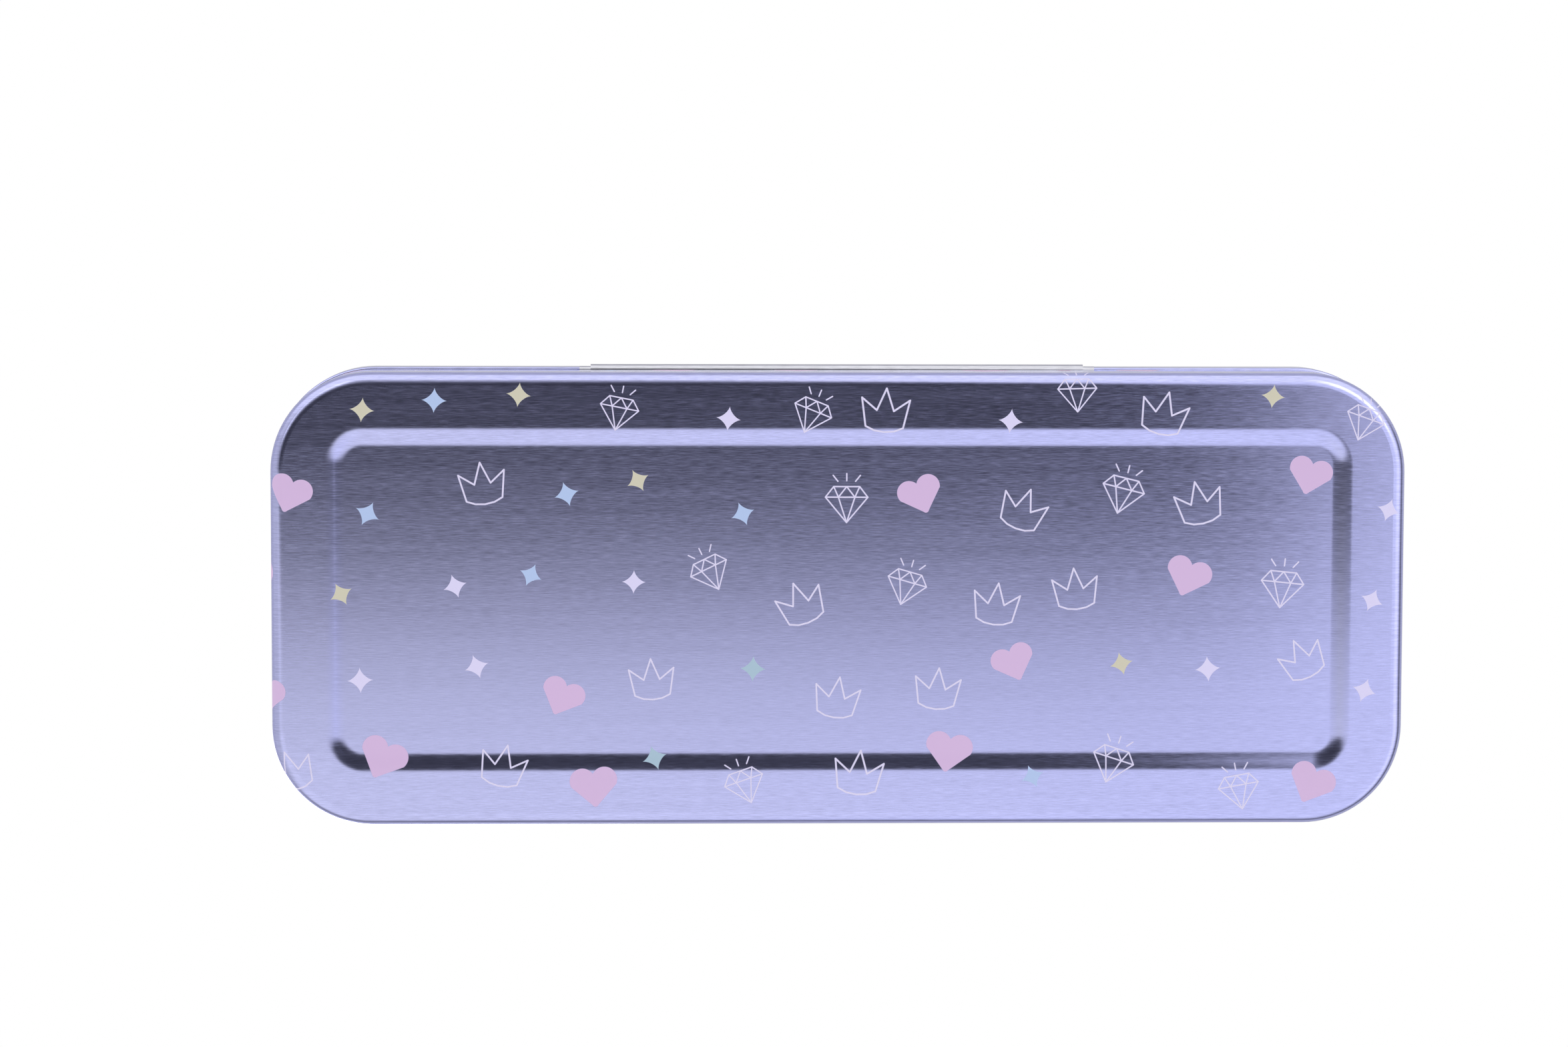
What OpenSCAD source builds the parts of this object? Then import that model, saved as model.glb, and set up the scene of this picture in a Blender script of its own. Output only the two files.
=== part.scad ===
// Hinged tin for coloured pencils: a drawn tinplate base and lid with a rolled hinge,
// a moulded insert tray and a row of hexagonal pencils.
// Frame: origin at the middle of the underside, +X along the length, +Y to the hinge, +Z up.

/* [Tin] */
// Outside length of the base
tin_length = 200; // [188:1:240]
// Outside width of the base
tin_width = 80; // [80:1:110]
// Height of the closed tin
tin_height = 22; // [19:0.5:40]
// Plan radius of the base's corners
corner_radius = 17.5; // [12:0.5:19]
// Thickness of the tinplate
sheet = 0.3; // [0.25:0.05:0.35]
// Rounding between a wall and the bottom, or a wall and the top
edge_radius = 2.2; // [1.6:0.1:2.3]

/* [Base] */
// Height from the base's shoulder, where its wall steps in, to the top of the lid
lid_depth = 9.1; // [8:0.1:9.5]
// How far the wall steps in at the shoulder
shoulder_step = 1; // [0.9:0.05:1.2]
// Radius of the rim that is curled inwards
rim_radius = 0.5; // [0.4:0.05:0.6]
// Gap between the base's rim and the underside of the lid
rim_gap = 0.4; // [0.3:0.05:0.8]
// Width of the flat ring that the tin stands on, with its rounding
foot_width = 9.5; // [7:0.5:13.5]
// How far the middle of the bottom is pressed in
recess_depth = 0.2; // [0.1:0.1:0.5]
// Plan width of the sloped band around that panel
recess_slope = 3.6; // [2.8:0.1:4.5]
// Plan radius of the band's outer corners
recess_radius = 6.6; // [5:0.2:9]

/* [Lid] */
// How far the lid's skirt stands out past the base's lower wall
lid_overhang = 0.35; // [0.3:0.05:0.6]
// Radius of the rolled safe edge of the lid
bead_radius = 0.4; // [0.35:0.05:0.45]
// Height of the raised panel on the lid
panel_height = 0.5; // [0.3:0.1:0.8]
// Width of the lid's flat border around the raised panel
border_width = 8; // [6:0.5:12]
// Plan width of the sloped band around the raised panel
border_slope = 1.5; // [1.2:0.1:3]

/* [Hinge] */
// Length of the rolled hinge barrel
barrel_length = 88; // [60:1:100]
// Outside radius of the barrel
barrel_radius = 1.1; // [1:0.05:1.2]
// Radial play of the lid's bar in the barrel
hinge_play = 0.05; // [0.02:0.01:0.1]
// Height of the hinge axis above the shoulder
axis_rise = 1.4; // [1.35:0.05:1.6]
// Length of the bar that shows past each end of the barrel
bar_reach = 2; // [1.5:0.1:4]
// Gap between the hinge's moving edges
swing_gap = 0.4; // [0.3:0.05:0.5]
// How much lower the base's shoulder runs behind the barrel
dent_drop = 1.2; // [1.1:0.1:1.6]

/* [Tray] */
// Thickness of the moulded tray
tray_sheet = 0.5; // [0.4:0.1:0.7]
// Gap all round between the tray and the base's rim
tray_gap = 0.3; // [0.3:0.1:0.8]
// Flat edge between the outermost pencil's place and the tray's side
tray_edge = 1.3; // [1.2:0.1:2]
// Height of the bottom of the pencil grooves
groove_floor = 5.4; // [4:0.1:7]
// Depth of a pencil groove
groove_depth = 2; // [1:0.1:2.2]
// Play between a pencil's corners and its groove
groove_play = 0.12; // [0.1:0.02:0.2]
// Gap between a pencil's end and the end of its groove
groove_end_gap = 0.5; // [0.3:0.1:1]
// Width of the finger well across the grooves
well_width = 22; // [14:1:40]
// Height of the finger well's floor
well_floor = 3; // [2:0.1:3.4]

/* [Pencils] */
// Length of a pencil, to the apex of its point
pencil_length = 168; // [120:1:169]
// Gap between neighbouring pencils
pencil_gap = 0.4; // [0.3:0.05:1]
// Radius of the coloured core
core_radius = 1.5; // [1:0.1:1.8]
// Length of the sharpened end, to the apex
point_length = 23; // [18:1:28]
// Radius of the core's blunt tip
tip_radius = 0.35; // [0.2:0.05:0.5]
// Thickness of the wood at its thin front edge
wood_edge = 0.15; // [0.1:0.05:0.3]

/* [Hidden] */
$fn = 96;
COLOURS = [
    ["yellow", "gold"],
    ["orange", "darkorange"],
    ["red", "crimson"],
    ["pink", "hotpink"],
    ["violet", "rebeccapurple"],
    ["dark_blue", "mediumblue"],
    ["light_blue", "deepskyblue"],
    ["green", "forestgreen"],
    ["brown", "saddlebrown"],
    ["black", "dimgray"]
];

// overlap that joins the parts of one piece
slack = 0.01;
// gap between pieces that are glued together or only rest on each other
hair = 0.02;

// base
half_length = tin_length / 2;
half_width = tin_width / 2;
shoulder_height = tin_height - lid_depth;
shoulder_arc = shoulder_step / 2;
wall_foot = shoulder_height + shoulder_step;
border_top = tin_height - panel_height;
rim_top = border_top - sheet - rim_gap;

// hinge
tongue_y = half_width - shoulder_step - sheet;
axis_y = tongue_y + barrel_radius;
axis_z = shoulder_height + axis_rise;
bar_radius = barrel_radius - sheet - hinge_play;
bar_length = barrel_length + 2 * bar_reach;
notch_length = bar_length + 2 * swing_gap;
notch_height = axis_z - bar_radius - swing_gap;
curl_mouth = [180, 232];

// lid
lid_half_length = half_length + lid_overhang;
lid_half_width = half_width + lid_overhang;
lid_corner = corner_radius + lid_overhang;
window_length = barrel_length + 2 * swing_gap;
window_reach = barrel_radius + swing_gap;

// tray
tray_inset = shoulder_step + 2 * rim_radius + tray_gap;
tray_half_length = half_length - tray_inset;
tray_half_width = half_width - tray_inset;
tray_corner = corner_radius - tray_inset;
land_z = groove_floor + groove_depth;
groove_length = pencil_length + 2 * groove_end_gap;

// pencils, as thick as their places across the tray allow
pencil_count = len(COLOURS);
pencil_pitch = 2 * (tray_half_width - tray_edge) / pencil_count;
pencil_flats = pencil_pitch - pencil_gap;
pencil_corner = pencil_flats / 2 / cos(30);
groove_radius = pencil_corner + groove_play;
pencil_z = groove_floor + pencil_corner + hair;
taper = pencil_corner / point_length;
wood_length = pencil_length - (core_radius + wood_edge) / taper;

function pencil_y(i) = (i - (pencil_count - 1) / 2) * pencil_pitch;

// ---- plan shapes and sweeps ----

// Plate with round corners, from z = 0 up to its thickness
module plate(half_x, half_y, r, thickness) {
    linear_extrude(thickness)
        union() {
            square([2 * half_x, 2 * (half_y - r)], center = true);
            square([2 * (half_x - r), 2 * half_y], center = true);
            for (sx = [-1, 1], sy = [-1, 1])
                translate([sx * (half_x - r), sy * (half_y - r)])
                    circle(r);
        }
}

// A profile run along X; its x = 0 lies at offset_y and its x points to +Y
module side(length, offset_y) {
    translate([-length / 2, offset_y, 0])
        rotate([90, 0, 90])
            linear_extrude(length)
                children();
}

// A profile turned round the four corners of a plate; its x = 0 is the corner's centre
module corners(half_x, half_y, r) {
    for (turn = [0 : 3]) {
        sx = turn == 0 || turn == 3 ? 1 : -1;
        sy = turn < 2 ? 1 : -1;
        translate([sx * (half_x - r), sy * (half_y - r), 0])
            rotate([0, 0, 90 * turn])
                rotate_extrude(angle = 90)
                    children();
    }
}

// A profile carried right round a plate's edge
module around(half_x, half_y, r) {
    corners(half_x, half_y, r)
        children();
    for (turn = [0, 180])
        rotate([0, 0, turn]) {
            side(2 * (half_x - r), half_y - r)
                children();
            rotate([0, 0, -90])
                side(2 * (half_y - r), half_x - r)
                    children();
        }
}

// ---- sheet profiles, with x outwards and y up ----

// Pie slice between two angles less than half a turn apart
module slice(reach, from, to) {
    middle = (from + to) / 2;
    polygon([[0, 0], for (a = [from, middle, to]) reach * [cos(a), sin(a)]]);
}

// Bent sheet: the part of a ring between two angles
module bend(outer, from, to) {
    intersection() {
        difference() {
            circle(outer);
            circle(outer - sheet);
        }
        slice(2 * outer, from, to);
    }
}

// Base wall from the bottom to the top of a shoulder that starts at height z
module lower_wall(z) {
    r = corner_radius;
    translate([r - edge_radius, edge_radius])
        bend(edge_radius, 270, 360);
    translate([r - sheet, edge_radius])
        square([sheet, z - edge_radius]);
    translate([r - shoulder_arc, z])
        bend(shoulder_arc, 0, 90);
    translate([r - shoulder_arc, z + shoulder_step])
        bend(shoulder_arc + sheet, 180, 270);
}

// Whole base wall with its curled rim
module base_wall() {
    wall_x = corner_radius - shoulder_step;
    lower_wall(shoulder_height);
    translate([wall_x - sheet, wall_foot])
        square([sheet, rim_top - rim_radius - wall_foot]);
    translate([wall_x - rim_radius, rim_top - rim_radius])
        circle(rim_radius);
}

// Rear wall by the hinge: its shoulder is lower, and it stops below the bar
module notch_wall() {
    lower_wall(shoulder_height - dent_drop);
    translate([corner_radius - shoulder_step - sheet, wall_foot - dent_drop])
        square([sheet, notch_height - wall_foot + dent_drop]);
}

// Web that closes an end of the dent, between the low and the full shoulder
module dent_web() {
    r = corner_radius;
    difference() {
        union() {
            translate([r - shoulder_step - sheet, shoulder_height - dent_drop])
                square([shoulder_arc + sheet, shoulder_step + dent_drop]);
            translate([r - shoulder_arc - slack, shoulder_height - dent_drop])
                square([shoulder_arc + slack, dent_drop]);
            translate([r - shoulder_arc, shoulder_height])
                circle(shoulder_arc);
        }
        translate([r - shoulder_arc, wall_foot])
            circle(shoulder_arc);
    }
}

// Lid wall: bend under the top, skirt and rolled safe edge
module lid_wall() {
    r = lid_corner;
    translate([r - edge_radius, border_top - edge_radius])
        bend(edge_radius, 0, 90);
    translate([r - sheet, axis_z])
        square([sheet, border_top - edge_radius - axis_z]);
    translate([r - bead_radius, axis_z])
        circle(bead_radius);
}

// S-shaped step of two equal arcs that lifts the sheet by depth, going inwards from x = r
module pressed_step(r, width, depth) {
    arc_r = (width * width + depth * depth) / (4 * depth);
    intersection() {
        translate([r, arc_r])
            difference() {
                circle(arc_r);
                translate([0, sheet])
                    circle(arc_r);
            }
        translate([r - width / 2, 0])
            square([width / 2, depth + sheet]);
    }
    intersection() {
        translate([r - width, depth - arc_r])
            difference() {
                translate([0, sheet])
                    circle(arc_r);
                circle(arc_r);
            }
        translate([r - width, 0])
            square([width / 2, depth + sheet]);
    }
}

// Flat ring, sloped band and raised panel of a bottom or a top
module pressed_plate(half_x, half_y, r, ring, radius, width, depth) {
    hole_x = half_x - ring;
    hole_y = half_y - ring;
    difference() {
        plate(half_x - edge_radius, half_y - edge_radius, r - edge_radius, sheet);
        translate([0, 0, -1])
            plate(hole_x, hole_y, radius, sheet + 2);
    }
    around(hole_x, hole_y, radius)
        pressed_step(radius, width, depth);
    translate([0, 0, depth])
        plate(hole_x - width, hole_y - width, radius - width, sheet);
}

// ---- base ----

// Rolled barrel that is open between the two angles of its mouth
module barrel() {
    side(barrel_length, axis_y)
        translate([0, axis_z])
            difference() {
                circle(barrel_radius);
                circle(barrel_radius - sheet);
                slice(2 * barrel_radius, curl_mouth[0], curl_mouth[1]);
            }
}

module base() {
    straight_x = half_length - corner_radius;
    straight_y = half_width - corner_radius;
    beside_notch = straight_x - notch_length / 2;
    color("lightsteelblue")
        union() {
            pressed_plate(half_length, half_width, corner_radius,
                foot_width, recess_radius, recess_slope, recess_depth);
            // corners, ends and front
            corners(half_length, half_width, corner_radius)
                base_wall();
            for (turn = [90, -90])
                rotate([0, 0, turn])
                    side(2 * straight_y, straight_x)
                        base_wall();
            rotate([0, 0, 180])
                side(2 * straight_x, straight_y)
                    base_wall();
            // rear wall, full beside the hinge and cut low behind it
            for (s = [-1, 1]) {
                translate([s * (notch_length + beside_notch) / 2, 0, 0])
                    side(beside_notch, straight_y)
                        base_wall();
                translate([s * (notch_length + sheet) / 2, 0, 0])
                    side(sheet, straight_y)
                        dent_web();
            }
            side(notch_length, straight_y)
                notch_wall();
            // tongue that feeds the barrel
            translate([-barrel_length / 2, tongue_y, notch_height])
                cube([barrel_length, sheet, axis_z - notch_height]);
            barrel();
        }
}

// ---- lid ----

module lid() {
    color("lavender")
        union() {
            difference() {
                union() {
                    translate([0, 0, border_top - sheet])
                        pressed_plate(lid_half_length, lid_half_width, lid_corner,
                            border_width, lid_corner - border_width, border_slope, panel_height);
                    around(lid_half_length, lid_half_width, lid_corner)
                        lid_wall();
                }
                // window that the barrel comes out of
                translate([-window_length / 2, axis_y - window_reach, 0])
                    cube([window_length, 2 * window_reach, axis_z + window_reach]);
            }
            // bar that turns in the barrel
            side(bar_length, axis_y)
                translate([0, axis_z])
                    circle(bar_radius);
        }
}

// ---- tray ----

// Block with the grooves and the finger well cut into its top, made smaller by t all over
module tray_block(t) {
    well_reach = pencil_y(pencil_count - 1) + groove_radius / 2 + t;
    difference() {
        plate(tray_half_length - t, tray_half_width - t, tray_corner - t, land_z - t);
        for (i = [0 : pencil_count - 1])
            side(groove_length + 2 * t, pencil_y(i))
                translate([0, groove_floor + groove_radius])
                    circle(groove_radius + t);
        translate([-well_width / 2 - t, -well_reach, well_floor - t])
            cube([well_width + 2 * t, 2 * well_reach, land_z]);
    }
}

module tray() {
    color("whitesmoke")
        difference() {
            tray_block(0);
            tray_block(tray_sheet);
            // underside, open above the base's bottom
            translate([0, 0, -land_z + sheet])
                plate(half_length, half_width, corner_radius, land_z);
        }
}

// ---- pencils ----

// Places a pencil that points along +Z into groove i
module in_groove(i) {
    translate([-pencil_length / 2, pencil_y(i), pencil_z])
        rotate([0, 90, 0])
            children();
}

module casing(i) {
    color(COLOURS[i][1])
        in_groove(i)
            difference() {
                intersection() {
                    cylinder(h = wood_length, r = pencil_corner, $fn = 6);
                    rotate_extrude()
                        polygon([
                            [0, -1],
                            [pencil_corner + 1, -1],
                            [pencil_corner + 1, pencil_length - point_length - 1 / taper],
                            [0, pencil_length]
                        ]);
                }
                translate([0, 0, -1])
                    cylinder(h = pencil_length + 2, r = core_radius + hair);
            }
}

module core(i) {
    color(COLOURS[i][1])
        in_groove(i)
            rotate_extrude()
                polygon([
                    [0, 0],
                    [core_radius, 0],
                    [core_radius, pencil_length - core_radius / taper],
                    [tip_radius, pencil_length - tip_radius / taper],
                    [0, pencil_length - tip_radius / taper]
                ]);
}

base();
lid();
tray();
for (i = [0 : pencil_count - 1]) {
    casing(i);
    core(i);
}
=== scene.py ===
"""A hinged tinplate pencil tin with a printed scatter of small motifs, its insert tray and ten
coloured pencils, dressed for rendering around its CAD frame. Lengths are in millimetres, and
each mesh is made in metres at the end."""

import math

import bmesh
import bpy
import numpy as np
from mathutils import Matrix


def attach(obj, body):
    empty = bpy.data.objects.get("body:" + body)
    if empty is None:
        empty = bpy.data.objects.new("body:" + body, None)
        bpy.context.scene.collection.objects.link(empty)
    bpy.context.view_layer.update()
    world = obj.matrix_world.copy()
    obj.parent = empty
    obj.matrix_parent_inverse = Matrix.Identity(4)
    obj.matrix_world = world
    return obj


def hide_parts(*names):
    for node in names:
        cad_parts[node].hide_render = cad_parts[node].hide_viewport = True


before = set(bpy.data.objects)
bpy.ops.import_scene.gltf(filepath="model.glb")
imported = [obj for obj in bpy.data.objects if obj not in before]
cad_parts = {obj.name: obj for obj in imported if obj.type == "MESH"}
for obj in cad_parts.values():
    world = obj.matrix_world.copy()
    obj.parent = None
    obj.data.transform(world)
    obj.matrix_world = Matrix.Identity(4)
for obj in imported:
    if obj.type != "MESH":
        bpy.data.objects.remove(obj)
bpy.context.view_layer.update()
MM = 0.001


# ---- Camera ---------------------------------------------------------------------------
# A 95 mm lens looks up at the underside of the tin from 0.73 m away, a little to the
# hinge side, so that a narrow strip of the rear wall shows.

camera = bpy.data.objects.new("camera", bpy.data.cameras.new("camera"))
camera.data.sensor_width = 36.0
camera.data.lens = 95.02
camera.data.clip_start = 0.05
camera.data.clip_end = 20.0
bpy.context.collection.objects.link(camera)


def turned(tilt, swing, roll):
    """Rotation of a view: a tilt about x, then a swing about y, then a roll about z, as 3 x 3."""
    ca, sa = math.cos(tilt), math.sin(tilt)
    cb, sb = math.cos(swing), math.sin(swing)
    cc, sc = math.cos(roll), math.sin(roll)
    about_x = np.array([[1, 0, 0], [0, ca, -sa], [0, sa, ca]])
    about_y = np.array([[cb, 0, sb], [0, 1, 0], [-sb, 0, cb]])
    about_z = np.array([[cc, -sc, 0], [sc, cc, 0], [0, 0, 1]])
    return about_z @ about_y @ about_x


def place_camera(view, reach):
    """Puts the camera where view (3 x 3) and reach (the origin seen from the camera, mm) say.

    The rows of view are the camera's right, up and forward directions, in a frame whose x is
    the tin's -X, because the tin is seen from below.
    """
    flip = np.diag([-1.0, 1.0, 1.0])
    right, up, forward = view @ flip
    matrix = np.eye(4)
    matrix[:3, 0], matrix[:3, 1], matrix[:3, 2] = right, up, -forward
    matrix[:3, 3] = flip @ (-view.T @ np.asarray(reach)) * MM
    camera.matrix_world = Matrix(matrix.tolist())


tilt, swing, roll = np.radians([-4.65, -1.78, 0.005])
place_camera(turned(tilt, swing, roll), (9.84, -13.465, 729.0))
bpy.context.scene.camera = camera


# ---- Light and background -------------------------------------------------------------
# The tin lies in a white tent with one dark panel below it, where a camera would stand. The
# tent's tones are seen in reflections only, where the panel darkens the underside towards the
# hinge, and matt surfaces are lit by an even white.


def add_node(tree, kind, inputs, out=0, **settings):
    """Adds a node, applies its settings, then sets or links its inputs by index or name."""
    made = tree.nodes.new(kind)
    for key, value in settings.items():
        if key == "stops":
            ramp = made.color_ramp
            ramp.interpolation = "CONSTANT"
            for i, (place, colour) in enumerate(value):
                stop = ramp.elements[0] if i == 0 else ramp.elements.new(place)
                stop.position, stop.color = place, (*colour, 1.0)
            ramp.elements.remove(ramp.elements[-1])
        else:
            setattr(made, key, value)
    for key, value in inputs.items():
        if isinstance(value, Value):
            tree.links.new(value.socket, made.inputs[key])
        else:
            made.inputs[key].default_value = value
    return Value(tree, made.outputs[out] if made.outputs else None)


class Value:
    """A socket of a node tree. Arithmetic on it adds Math nodes."""

    def __init__(self, tree, socket):
        self.tree, self.socket = tree, socket

    def node(self, kind, inputs, out=0, **settings):
        return add_node(self.tree, kind, inputs, out, **settings)

    def math(self, operation, *others, clamp=False):
        inputs = dict(enumerate((self, *others)))
        return self.node("ShaderNodeMath", inputs, operation=operation, use_clamp=clamp)

    def __add__(self, other):
        return self.math("ADD", other)

    __radd__ = __add__

    def __mul__(self, other):
        return self.math("MULTIPLY", other)

    __rmul__ = __mul__

    def __sub__(self, other):
        return self.math("SUBTRACT", other)

    def __rsub__(self, other):
        return self.node("ShaderNodeMath", {0: other, 1: self}, operation="SUBTRACT")

    def __truediv__(self, other):
        return self.math("DIVIDE", other)

    def __abs__(self):
        return self.math("ABSOLUTE")

    def __pow__(self, other):
        return self.math("POWER", other)

    def __gt__(self, other):
        return self.math("GREATER_THAN", other)

    def __lt__(self, other):
        return self.math("LESS_THAN", other)

    def least(self, other):
        return self.math("MINIMUM", other)

    def most(self, other):
        return self.math("MAXIMUM", other)

    def floor(self):
        return self.math("FLOOR")

    def ramp(self, low, high):
        """0 at low, 1 at high and smooth between; low may be the larger."""
        inputs = {"Value": self, "From Min": low, "From Max": high}
        if low > high:
            inputs = {"Value": self, "From Min": high, "From Max": low}
            inputs |= {"To Min": 1.0, "To Max": 0.0}
        return self.node("ShaderNodeMapRange", inputs, interpolation_type="SMOOTHSTEP")

    def vector(self, operation, other=None, out=0, scale=None):
        inputs = {0: self}
        if other is not None:
            inputs[1] = other
        if scale is not None:
            inputs["Scale"] = scale
        return self.node("ShaderNodeVectorMath", inputs, out, operation=operation)

    def split(self):
        """The three components of a vector or colour."""
        x = self.node("ShaderNodeSeparateXYZ", {0: self})
        return [x] + [Value(self.tree, x.socket.node.outputs[i]) for i in (1, 2)]


def joined(x, y, z=0.0):
    """A vector of three values, the first of which is a socket."""
    return x.node("ShaderNodeCombineXYZ", {0: x, 1: y, 2: z})


def mixed(share, a, b):
    """Colour a where share is 0 and b where it is 1; each is a Value or three numbers."""
    a, b = (c if isinstance(c, Value) else (*c, 1.0) for c in (a, b))
    return share.node("ShaderNodeMix", {0: share, 6: a, 7: b}, 2, data_type="RGBA")


bpy.context.scene.view_settings.view_transform = "Standard"
world = bpy.data.worlds.new("tent")
bpy.context.scene.world = world
world.use_nodes = True
tree = world.node_tree
tree.nodes.clear()
to_camera = add_node(tree, "ShaderNodeLightPath", {}, "Is Camera Ray")
in_reflection = add_node(tree, "ShaderNodeLightPath", {}, "Is Glossy Ray")
east, north, height = add_node(tree, "ShaderNodeTexCoord", {}, "Generated").split()
drop = (0.0 - height).most(0.02)
across, along = east / drop, north / drop
panel = (along.ramp(-0.126, -0.076) - (across - along * 0.13).ramp(-0.119, -0.199)).most(0.0)
panel = panel * along.ramp(1.45, 0.1) * east.ramp(1.0, 0.45)
tent = mixed(across.ramp(-0.2, 0.1), (0.99, 1.0, 1.06), (1.0, 1.0, 0.96))
tent = mixed(east.ramp(0.5, 0.9), tent, (0.72, 0.72, 0.70))
tent = mixed(east.ramp(-0.4, -0.75), tent, (1.25, 1.25, 1.3))
tent = mixed(north.ramp(0.2, 0.8), tent, (1.2, 1.2, 1.16))

# Two bright patches low on the hinge side put a glint on the rounded edge at its two corners.
# They are too low for the walls to mirror them in a view from the side.
glint = north.ramp(0.1, 0.3) * abs(east).ramp(0.15, 0.35)
glint = glint * height.ramp(-0.93, -0.8) * height.ramp(-0.5, -0.66)
tent = mixed(glint, tent, (2.0, 2.0, 1.95))
tent = mixed(panel, tent, (0.06, 0.06, 0.065))

# A dark belt round the horizon, on the side away from the hinge, draws the edge's dark line.
belt = (height + east * -0.12).ramp(-0.45, 0.25) * height.ramp(0.5, 0.25)
belt = belt * (east * 0.7 + north).ramp(0.3, -0.5)
tent = mixed(belt, tent, (0.12, 0.12, 0.13))
tent = mixed(height.ramp(0.0, 0.42), tent, (0.62, 0.62, 0.64))

tent = mixed(in_reflection, (1.0, 1.0, 1.0), tent)
shown = mixed(to_camera, tent, (1.0, 1.0, 1.0))
background = add_node(tree, "ShaderNodeBackground", {"Color": shown, "Strength": 1.0})
add_node(tree, "ShaderNodeOutputWorld", {"Surface": background})

lamp = bpy.data.lights.new("softbox", "AREA")
lamp.size = 0.5
lamp.energy = 2.0
softbox = bpy.data.objects.new("softbox", lamp)
bpy.context.collection.objects.link(softbox)
softbox.location = (0.35, -0.45, 0.75)
softbox.rotation_mode = "QUATERNION"
softbox.rotation_quaternion = softbox.location.to_track_quat("Z", "Y")


# ---- Floor ----------------------------------------------------------------------------
# A pale table top under the tin. It shows from above only, so that the underside can be
# seen from below, and it lets light through to the underside.

floor_mesh = bpy.data.meshes.new("floor")
floor_mesh.from_pydata([(-4, -4, 0), (4, -4, 0), (4, 4, 0), (-4, 4, 0)], [], [(0, 1, 2, 3)])
floor = bpy.data.objects.new("floor", floor_mesh)
bpy.context.collection.objects.link(floor)
floor_look = bpy.data.materials.new("floor")
floor_look.use_nodes = True
tree = floor_look.node_tree
tree.nodes.clear()
to_camera = add_node(tree, "ShaderNodeLightPath", {}, "Is Camera Ray")
from_below = add_node(tree, "ShaderNodeNewGeometry", {}, "Backfacing")
pale = add_node(tree, "ShaderNodeBsdfDiffuse", {"Color": (0.9, 0.9, 0.91, 1.0)})
clear = add_node(tree, "ShaderNodeBsdfTransparent", {})
top_only = to_camera * (1.0 - from_below)
surface = add_node(tree, "ShaderNodeMixShader", {0: top_only, 1: clear, 2: pale})
add_node(tree, "ShaderNodeOutputMaterial", {"Surface": surface})
floor_mesh.materials.append(floor_look)


# ---- Base -----------------------------------------------------------------------------
# Drawn from one sheet of printed tinplate: a flat foot ring round a pressed-in panel, a
# rounded edge, a wall that steps in at the shoulder and a rim curled inwards. At the rear
# the wall is cut low for 93 mm, and its middle is rolled outwards into the hinge barrel.

SHEET = 0.3
BASE = np.array([100.0, 40.0, 17.5])  # half length, half width and corner radius
EDGE = 2.2
FOOT = 9.5
SHOULDER_Z, SHOULDER_ARC, STEP_IN = 12.9, 0.5, 1.0
RIM_Z, RIM_R = 20.3, 0.5
AXIS_Y, AXIS_Z = 39.8, 14.3
BARREL_R, BARREL_HALF = 1.1, 44.0
BAR_R, BAR_HALF = 0.75, 46.0
NOTCH_HALF, NOTCH_Z, DENT = 46.4, 13.15, 1.2
CORNER_STEPS = 22
EASE = 0.12  # width of the strips that keep flat faces flat beside a bend
DEEP_STOPS = np.arange(-18.0, 18.5, 6.0)


def side_stops(cut):
    """Places along a long side, 7 mm apart, with a double stop at each end of a cut.

    Returns the places and whether each lies in the cut.
    """
    near = np.append(np.arange(0.0, cut - 2.0, 7.0), cut)
    far = np.append(cut, np.arange(cut + 7.0, 79.0, 7.0))
    inside = np.concatenate([np.zeros(len(far)), np.ones(2 * len(near) - 1), np.zeros(len(far))])
    return np.concatenate([-far[::-1], -near[:0:-1], near, far]), inside.astype(bool)


def rear_columns(count):
    """Where the stops of the rear side stand in the columns of loops."""
    return len(DEEP_STOPS) + 2 + CORNER_STEPS + 2 + np.arange(count)


def loops(plans, stops):
    """Points of round-cornered rectangles (half x, half y, radius), anticlockwise from +X.

    A side runs straight between its two corners through fixed places, and a corner is an arc
    centre + radius * (cos, sin) in equal steps. plans is (K, 3); returns (K, N, 2).
    """
    hx, hy, r = plans[:, 0:1], plans[:, 1:2], plans[:, 2:3]
    turn = np.linspace(0.0, np.pi / 2, CORNER_STEPS + 1)

    def side(end, places):
        places = np.broadcast_to(places, (len(plans), len(places)))
        return np.concatenate([EASE - end, places, end - EASE], axis=1)

    def corner(quarter, sx, sy):
        a = turn + quarter * np.pi / 2
        return np.stack([sx * (hx - r) + r * np.cos(a), sy * (hy - r) + r * np.sin(a)], axis=-1)

    across, along = side(hx - r, stops), side(hy - r, DEEP_STOPS)
    wide, deep = np.broadcast_to(hx, along.shape), np.broadcast_to(hy, across.shape)
    right, rear = np.stack([wide, along], axis=-1), np.stack([-across, deep], axis=-1)
    quarters = [corner(0, 1, 1), corner(1, -1, 1), corner(2, -1, -1), corner(3, 1, -1)]
    return np.concatenate(
        [right, quarters[0], rear, quarters[1], -right, quarters[2], -rear, quarters[3]], axis=1
    )


def arc(centre, radius, start, end, steps):
    """Points centre + radius * (cos, sin) from one angle to another, in degrees."""
    a = np.radians(np.linspace(start, end, steps + 1))
    return np.stack([centre[0] + radius * np.cos(a), centre[1] + radius * np.sin(a)], axis=-1)


def wall_arc(inset, z, radius, start, end, steps):
    """An arc of a wall's section, as points (distance in from the outline, height)."""
    return arc((-inset, z), radius, start, end, steps) * [-1.0, 1.0]


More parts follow.
